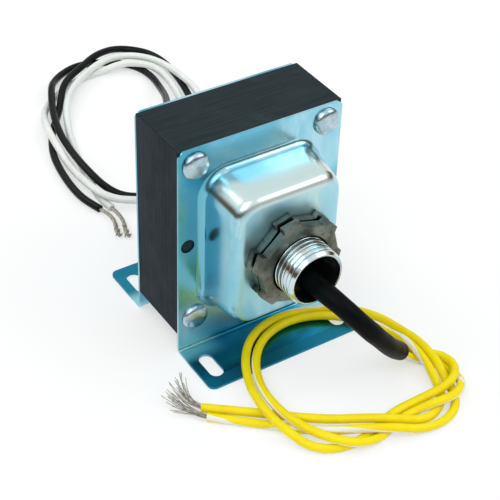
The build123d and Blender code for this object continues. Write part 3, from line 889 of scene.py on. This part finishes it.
yellow_outer_route = [
    (0.0016, -0.024, 0.044), (0.0021, -0.042, 0.0408), (0.0043, -0.0551, 0.04),
    (0.0111, -0.0616, 0.0308), (0.0197, -0.0616, 0.0198), (0.026, -0.0591, 0.0119),
    (0.0318, -0.0572, 0.0062), (0.0367, -0.0582, 0.0022), (0.0419, -0.0608, 0.0022),
    (0.0447, -0.0655, 0.0036), (0.0446, -0.0718, 0.0049), (0.0412, -0.0765, 0.0051),
    (0.0358, -0.0788, 0.0049), (0.0294, -0.0792, 0.0046), (0.0224, -0.0774, 0.0021),
    (0.0135, -0.0773, 0.00155), (0.005, -0.0804, 0.00155), (-0.004, -0.0822, 0.00155),
    (-0.012, -0.081, 0.00155), (-0.0188, -0.0764, 0.002), (-0.0226, -0.069, 0.0046),
    (-0.024, -0.0605, 0.0049), (-0.0232, -0.0518, 0.0046), (-0.0206, -0.0422, 0.0026),
    (-0.0154, -0.0312, 0.0026), (-0.008, -0.023, 0.0026), (0.002, -0.0186, 0.0026),
    (0.0135, -0.0189, 0.0026), (0.0245, -0.0228, 0.0026), (0.0336, -0.0294, 0.0026),
    (0.0391, -0.038, 0.0026), (0.0406, -0.0475, 0.0034), (0.0406, -0.057, 0.0058),
    (0.0403, -0.067, 0.0053), (0.0395, -0.074, 0.0019), (0.0378, -0.081, 0.00155),
    (0.0334, -0.087, 0.00155), (0.026, -0.0898, 0.00155), (0.017, -0.089, 0.0023),
    (0.008, -0.0854, 0.005), (-0.0015, -0.08, 0.0048), (-0.0105, -0.0734, 0.0024),
    (-0.019, -0.0656, 0.00155), (-0.027, -0.0586, 0.00155), (-0.034, -0.0524, 0.00155),
    (-0.04, -0.047, 0.00155),
]
black_route = [
    (-0.0016, 0.024, 0.044), (-0.0018, 0.042, 0.0425), (0.0015, 0.057, 0.038), (0.009, 0.0705, 0.032),
    (0.0185, 0.083, 0.0265), (0.0275, 0.096, 0.0205), (0.0355, 0.1095, 0.0145), (0.042, 0.123, 0.0085),
    (0.047, 0.136, 0.0036), (0.05, 0.148, 0.0016), (0.0485, 0.1585, 0.00155), (0.042, 0.1665, 0.00155),
    (0.033, 0.1715, 0.00155), (0.024, 0.173, 0.00155), (0.0155, 0.17, 0.00155), (0.0086, 0.164, 0.0026),
    (0.0042, 0.1568, 0.005), (0.0002, 0.1485, 0.0049), (-0.0032, 0.1405, 0.0049),
    (-0.0063, 0.1315, 0.0048), (-0.0088, 0.1215, 0.0048), (-0.0102, 0.111, 0.0048),
    (-0.0108, 0.101, 0.0048), (-0.0108, 0.092, 0.0048), (-0.0094, 0.0835, 0.0032),
    (-0.0056, 0.0758, 0.00155), (0.0012, 0.0706, 0.00155), (0.01, 0.0688, 0.00155),
    (0.019, 0.0718, 0.00155), (0.0282, 0.0788, 0.00155), (0.037, 0.0882, 0.00155),
    (0.045, 0.0995, 0.00155), (0.0515, 0.112, 0.00155), (0.056, 0.1245, 0.00155),
    (0.059, 0.137, 0.00155), (0.0606, 0.1482, 0.00155), (0.061, 0.1582, 0.00155),
    (0.0586, 0.1672, 0.00155), (0.0532, 0.1738, 0.00155), (0.0465, 0.1768, 0.0022),
    (0.0385, 0.174, 0.0042), (0.0315, 0.171, 0.0048), (0.024, 0.1662, 0.0048), (0.0164, 0.1618, 0.0049),
    (0.0098, 0.1562, 0.005), (0.0052, 0.1496, 0.0032), (0.001, 0.1432, 0.00155),
    (-0.0038, 0.137, 0.00155), (-0.0084, 0.1308, 0.00155), (-0.0122, 0.1238, 0.00155),
    (-0.016, 0.115, 0.00155), (-0.0182, 0.105, 0.00155), (-0.0194, 0.0955, 0.00155),
    (-0.0198, 0.0865, 0.00155), (-0.019, 0.079, 0.00155), (-0.0168, 0.0722, 0.00155),
]
white_route = [
    (0.0016, 0.024, 0.044), (0.0016, 0.042, 0.0425), (0.0048, 0.056, 0.037), (0.0125, 0.068, 0.029),
    (0.0225, 0.08, 0.0205), (0.0325, 0.0925, 0.012), (0.0415, 0.105, 0.0048), (0.0485, 0.1175, 0.0016),
    (0.053, 0.1305, 0.0016), (0.0546, 0.1415, 0.0026), (0.0528, 0.1504, 0.0045),
    (0.048, 0.1564, 0.0048), (0.041, 0.1602, 0.0047), (0.033, 0.1626, 0.0019),
    (0.0245, 0.1628, 0.00155), (0.016, 0.16, 0.00155), (0.0076, 0.1558, 0.00155),
    (-0.0006, 0.1504, 0.00155), (-0.0066, 0.143, 0.0024), (-0.01, 0.1342, 0.0048),
    (-0.0122, 0.125, 0.0048), (-0.0134, 0.1155, 0.0044), (-0.0142, 0.106, 0.0026),
    (-0.0149, 0.0964, 0.0034), (-0.0152, 0.0868, 0.0048), (-0.014, 0.0776, 0.0048),
    (-0.0098, 0.07, 0.0048), (-0.002, 0.0656, 0.0044), (0.007, 0.0638, 0.0018),
    (0.0165, 0.0656, 0.00155), (0.026, 0.0712, 0.00155), (0.0354, 0.0794, 0.00155),
    (0.0444, 0.09, 0.00155), (0.052, 0.1022, 0.00155), (0.0574, 0.115, 0.0022), (0.0594, 0.126, 0.0048),
    (0.0592, 0.136, 0.0048), (0.0584, 0.145, 0.0048), (0.0564, 0.1534, 0.0048),
    (0.0524, 0.1602, 0.0048), (0.0464, 0.165, 0.0048), (0.0388, 0.1666, 0.0048),
    (0.031, 0.1646, 0.0048), (0.024, 0.1608, 0.0048), (0.017, 0.1562, 0.0048), (0.0106, 0.1504, 0.0048),
    (0.0056, 0.1442, 0.0048), (0.0016, 0.1374, 0.0036), (-0.0012, 0.1304, 0.0016),
    (-0.0042, 0.122, 0.00155), (-0.007, 0.1125, 0.00155), (-0.0092, 0.103, 0.00155),
    (-0.0108, 0.094, 0.00155), (-0.0126, 0.0856, 0.00155), (-0.0136, 0.0778, 0.00155),
    (-0.0126, 0.0704, 0.00155),
]
black_tinned_route = [
    (-0.0168, 0.0722, 0.00155), (-0.01526, 0.06744, 0.00155), (-0.0154, 0.0626, 0.0012),
    (-0.017, 0.0582, 0.0011), (-0.018, 0.054, 0.0011),
]
white_tinned_route = [
    (-0.0126, 0.0704, 0.00155), (-0.012, 0.06596, 0.00155), (-0.0124, 0.0612, 0.0012),
    (-0.014, 0.0566, 0.0011), (-0.0152, 0.0518, 0.0011),
]
sleeve_route = [
    (0.0, -0.03, 0.043), (0.0005, -0.042, 0.0408), (0.0028, -0.0558, 0.04), (0.0102, -0.0629, 0.0308),
    (0.0192, -0.0631, 0.0198), (0.0257, -0.0607, 0.0118), (0.0302, -0.0592, 0.0076),
]

# Stripes, as distance and side, and where the bare strands end
inner_stripe = (
    (0.080, 115), (0.090, 115), (0.096, 150), (0.102, 120), (0.106, 20), (0.110, -85), (0.116, -120),
    (0.172, -140), (0.180, -118), (0.190, -92), (0.200, -73), (0.210, -78), (0.226, -110),
    (0.256, -110), (0.280, -35), (0.286, -8), (0.290, 30), (0.298, 92), (0.304, 130), (0.404, 130),
)
outer_stripe = (
    (0.080, -60), (0.096, -70), (0.104, -108), (0.112, -140), (0.170, -150), (0.208, -126),
    (0.224, -100), (0.238, -75), (0.250, -24), (0.258, -2), (0.270, -70), (0.320, -100),
    (0.336, -120), (0.350, -140), (0.358, -138), (0.364, -118), (0.370, -80), (0.377, -34),
    (0.390, -14), (0.404, -150), (0.412, -125), (0.416, -75), (0.423, -40),
)
inner_tips = ((-0.0416, -0.0302, 0.0042), (-0.0434, -0.0330, 0.0036), (-0.0402, -0.0290, 0.0060))
outer_tips = ((-0.0475, -0.0350, 0.0030), (-0.0464, -0.0318, 0.0036), (-0.0482, -0.0380, 0.0022))


def make_lead(node, route, material, slot, stripe=((0, 0),)):
    """A lead along its route, with a map of its own: the share of the turn, and the metres along. The
    stripe lists places along it in metres, each with the side of the lead that the stripe lies on
    there: 0 is up, and 90 is to the right of the lead's way."""
    line, along = evenly(route_line(route), lead_step)
    places, sides = np.transpose(stripe)
    twist = np.interp(along, places, np.radians(sides)) - np.pi
    tube_line, radii = closed_ends(line, lead_radius, lead_rim)
    twist = np.pad(twist, (len(tube_line) - len(line)) // 2, mode="edge")
    patch = grid_patch(tube_points(tube_line, radii, lead_sides, twist), wrap_columns=True)
    walked = distance_along(tube_line)
    row, column = np.meshgrid(np.arange(len(tube_line) - 1), np.arange(lead_sides), indexing="ij")
    turn = np.stack([column, column + 1, column + 1, column], axis=-1) / lead_sides
    metres = np.stack([walked[row], walked[row], walked[row + 1], walked[row + 1]], axis=-1)
    piece = make_piece(node + "_wire", [patch], material, joined(turn, metres))
    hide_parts(node)
    return piece, line


def frayed_strands(name, node, line, targets, seed):
    """Loose wires from the cut end of a lead: each leaves inside the insulation, packed in a disc,
    and bows through a middle point to its own tip, a curve weighted by the squares of the shares."""
    draw = np.random.default_rng(seed)
    count = strand_count
    stop = unit(line[-1] - line[-2])
    level, up = sideways(line[-3:])
    number = np.arange(count)[:, None]
    packed = conductor_radius * np.sqrt((number + 0.5) / count)
    angle = number * 2.4
    start = line[-1] - stop * strand_start + packed * (np.cos(angle) * up[-1] + np.sin(angle) * level[-1])
    target = np.asarray(targets)[number[:, 0] % len(targets)]
    tip = target + draw.normal(0, 1, (count, 3)) * strand_spread
    tip[:, 0] = np.maximum(tip[:, 0], furthest_tip + draw.uniform(0, 1.5, count) * mm)
    tip[:, 2] = np.maximum(tip[:, 2], lowest_tip)
    reach = np.linalg.norm(tip - start, axis=1)[:, None]
    middle = start + stop * reach * draw.uniform(0.35, 0.55, (count, 1))
    middle = middle + draw.normal(0, 0.5, (count, 3)) * mm
    middle[:, 2] = np.maximum(middle[:, 2], lowest_bow)
    share = np.linspace(0, 1, 18)[:, None]
    patches = []
    for wire in range(count):
        bowed = 2 * share * (1 - share) * middle[wire]
        path = (1 - share) ** 2 * start[wire] + bowed + share**2 * tip[wire]
        path, radii = closed_ends(path, strand_radius, strand_rim)
        patches.append(grid_patch(tube_points(path, radii, wire_sides), wrap_columns=True))
    piece = make_piece(name, patches, tinned)
    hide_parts(node)
    return piece


def twisted_end(name, node, route):
    """A tinned conductor: wires laid round the route like a rope, one turn in each lay, that part a
    little towards the end, each by its own share of the cube of the distance along."""
    line, along = evenly(route_line(route), tinned_step)
    level, up = sideways(line)
    share = (along / along[-1])[:, None]
    patches = []
    for wire in range(tinned_count):
        angle = along / tinned_lay * full_turn + wire * full_turn / tinned_count
        aside = np.cos(angle)[:, None] * up + np.sin(angle)[:, None] * level
        path = line + aside * tinned_spread * (1 + 1.3 * share**3 * (0.4 + np.sin(wire * 2.1)))
        path[:, 2] = np.maximum(path[:, 2], lowest_tinned)
        path, radii = closed_ends(path, tinned_radius, tinned_rim)
        patches.append(grid_patch(tube_points(path, radii, wire_sides), wrap_columns=True))
    piece = make_piece(name, patches, tinned)
    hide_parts(node)
    return piece


def make_sleeve():
    """The sleeve is a tube inside a tube, joined by a rounded rim at both ends, a little flattened
    where the two leads fill it side by side, with a faint swell that comes and goes."""
    line, along = evenly(route_line(sleeve_route), sleeve_step)
    share = along / along[-1]
    swell = 1 + 0.012 * np.sin(share * 23) + 0.01 * np.sin(share * 41 + 1)
    outer, inner = (
        tube_points(line, radius * swell, sleeve_sides, flatten=sleeve_flatness)
        for radius in (sleeve_radius, sleeve_radius - sleeve_wall)
    )
    rim = np.linspace(0, np.pi, 7)[1:-1, None, None]
    middle = (outer + inner) / 2
    half = (outer - inner) / 2
    bulge = sleeve_rim * np.sin(rim)
    far_rim = middle[-1] + half[-1] * np.cos(rim) + bulge * unit(line[-1] - line[-2])
    near_rim = middle[0] - half[0] * np.cos(rim) + bulge * unit(line[0] - line[1])
    points = np.concatenate([outer, far_rim, inner[::-1], near_rim])
    patch = grid_patch(points, wrap_rows=True, wrap_columns=True)
    piece = make_piece("sleeve", [patch], sleeve_vinyl)
    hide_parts("front_sleeve")
    return piece


def make_leads():
    """The sleeve, and four leads with their ends."""
    sleeve = make_sleeve()
    yellow = (yellow_vinyl, "yellow_insulation")
    inner, inner_line = make_lead("yellow_lead_inner", yellow_inner_route, *yellow, inner_stripe)
    outer, outer_line = make_lead("yellow_lead_outer", yellow_outer_route, *yellow, outer_stripe)
    black, black_line = make_lead("black_lead", black_route, black_vinyl, "black_insulation")
    white, white_line = make_lead("white_lead", white_route, white_vinyl, "white_insulation")
    inner_strands = frayed_strands(
        "inner_frayed_strands", "inner_bare_strands", inner_line, inner_tips, 11
    )
    outer_strands = frayed_strands(
        "outer_frayed_strands", "outer_bare_strands", outer_line, outer_tips, 12
    )
    black_end = twisted_end("black_twisted_end", "black_tinned_end", black_tinned_route)
    white_end = twisted_end("white_twisted_end", "white_tinned_end", white_tinned_route)


# Room
def make_room():
    """A pale floor that looks half white by itself, a sky that is bright above and dim low down, and
    four large soft lamps."""
    reach = 6.0
    floor_mesh = bpy.data.meshes.new("floor")
    floor_mesh.from_pydata(
        [(-reach, -reach, 0), (reach, -reach, 0), (reach, reach, 0), (-reach, reach, 0)], [], [(0, 1, 2, 3)]
    )
    floor = bpy.data.objects.new("floor", floor_mesh)
    bpy.context.scene.collection.objects.link(floor)
    material = bpy.data.materials.new("pale_floor")
    add = empty_tree(material)
    matte = add("BsdfPrincipled", {"Base Color": "#f7f7f7", "Roughness": 0.9, "Specular IOR Level": 0.0})
    seen = add("LightPath", output="Is Camera Ray")
    for ray in ("Is Glossy Ray", "Is Transmission Ray"):
        seen = add("Math", {0: seen, 1: add("LightPath", output=ray)}, operation="MAXIMUM")
    share = add("Math", {0: seen, 1: 0.5}, operation="MULTIPLY")
    white = add("Emission", {"Color": "#ffffff", "Strength": 1.0})
    add("OutputMaterial", {"Surface": add("MixShader", {0: share, 1: matte, 2: white})})
    floor_mesh.materials.append(material)

    world = bpy.data.worlds.new("studio")
    bpy.context.scene.world = world
    add = empty_tree(world)
    height = add("SeparateXYZ", {"Vector": add("TexCoord", output="Generated")}, "Z")
    sky = layered(add, "#67492a", (height, 0.24, 0.5, "#f0f6f7"))
    add("OutputWorld", {"Surface": add("Background", {"Color": sky, "Strength": 1.0})})

    for name, place, size, power in (
        ("key", (-0.9, -0.8, 1.5), 1.1, 9.0),
        ("fill", (1.1, -0.9, 1.1), 0.9, 5.2),
        ("back", (-0.75, 1.05, 1.1), 0.9, 5.0),
        ("low", (1.35, 1.05, 0.4), 0.8, 1.4),
    ):
        lamp = bpy.data.lights.new(name, "AREA")
        lamp.size = size
        lamp.energy = power
        holder = bpy.data.objects.new(name, lamp)
        holder.location = place
        holder.rotation_euler = (Vector((0, 0, 0.04)) - Vector(place)).to_track_quat("-Z", "Y").to_euler()
        bpy.context.scene.collection.objects.link(holder)


def make_camera():
    """The camera looks back along a direction given by its azimuth and elevation, rolled about it."""
    azimuth, elevation, roll = np.radians([camera_azimuth, camera_elevation, camera_roll])
    back = np.array([
        np.sin(azimuth) * np.cos(elevation),
        -np.cos(azimuth) * np.cos(elevation),
        np.sin(elevation),
    ])
    level = unit(np.cross([0, 0, 1], back))
    rise = np.cross(back, level)
    right = level * np.cos(roll) + rise * np.sin(roll)
    up = -level * np.sin(roll) + rise * np.cos(roll)
    place = np.array(camera_target) + camera_distance * back
    view = bpy.data.cameras.new("camera")
    view.sensor_width = camera_sensor
    view.lens = camera_lens
    view.clip_start = 0.01
    camera = bpy.data.objects.new("camera", view)
    columns = np.column_stack([right, up, back, place])
    camera.matrix_world = Matrix([*columns.tolist(), [0, 0, 0, 1]])
    bpy.context.scene.collection.objects.link(camera)
    bpy.context.scene.camera = camera


def dress_nodes():
    """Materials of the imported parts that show, or lie inside, as they are."""
    dressed = {
        moulded_nylon: ["bobbin"],
        enamelled_wire: ["primary_winding", "secondary_winding"],
        paper: ["winding_barrier", "coil_wrap", "front_lead_pad", "rear_lead_pad"],
        sleeving: ["front_splice_left", "front_splice_right", "rear_splice_left", "rear_splice_right"],
    }
    for material, names in dressed.items():
        for name in names:
            nodes[name].data.materials.clear()
            nodes[name].data.materials.append(material)


make_camera()
make_leads()
make_core()
make_covers()
threaded_hub("front_hub", "front_hub_threaded", True)
threaded_hub("rear_hub", "rear_hub_threaded", False)
for side in ("front", "rear"):
    for place in ("inner", "outer"):
        cast_locknut(f"{side}_{place}_locknut")
for level in ("top", "bottom"):
    for side in ("left", "right"):
        headed_rivet(f"rivet_{level}_{side}", f"rivet_{level}_{side}_headed")
dress_nodes()
make_room()
bpy.context.scene.view_settings.view_transform = "Standard"
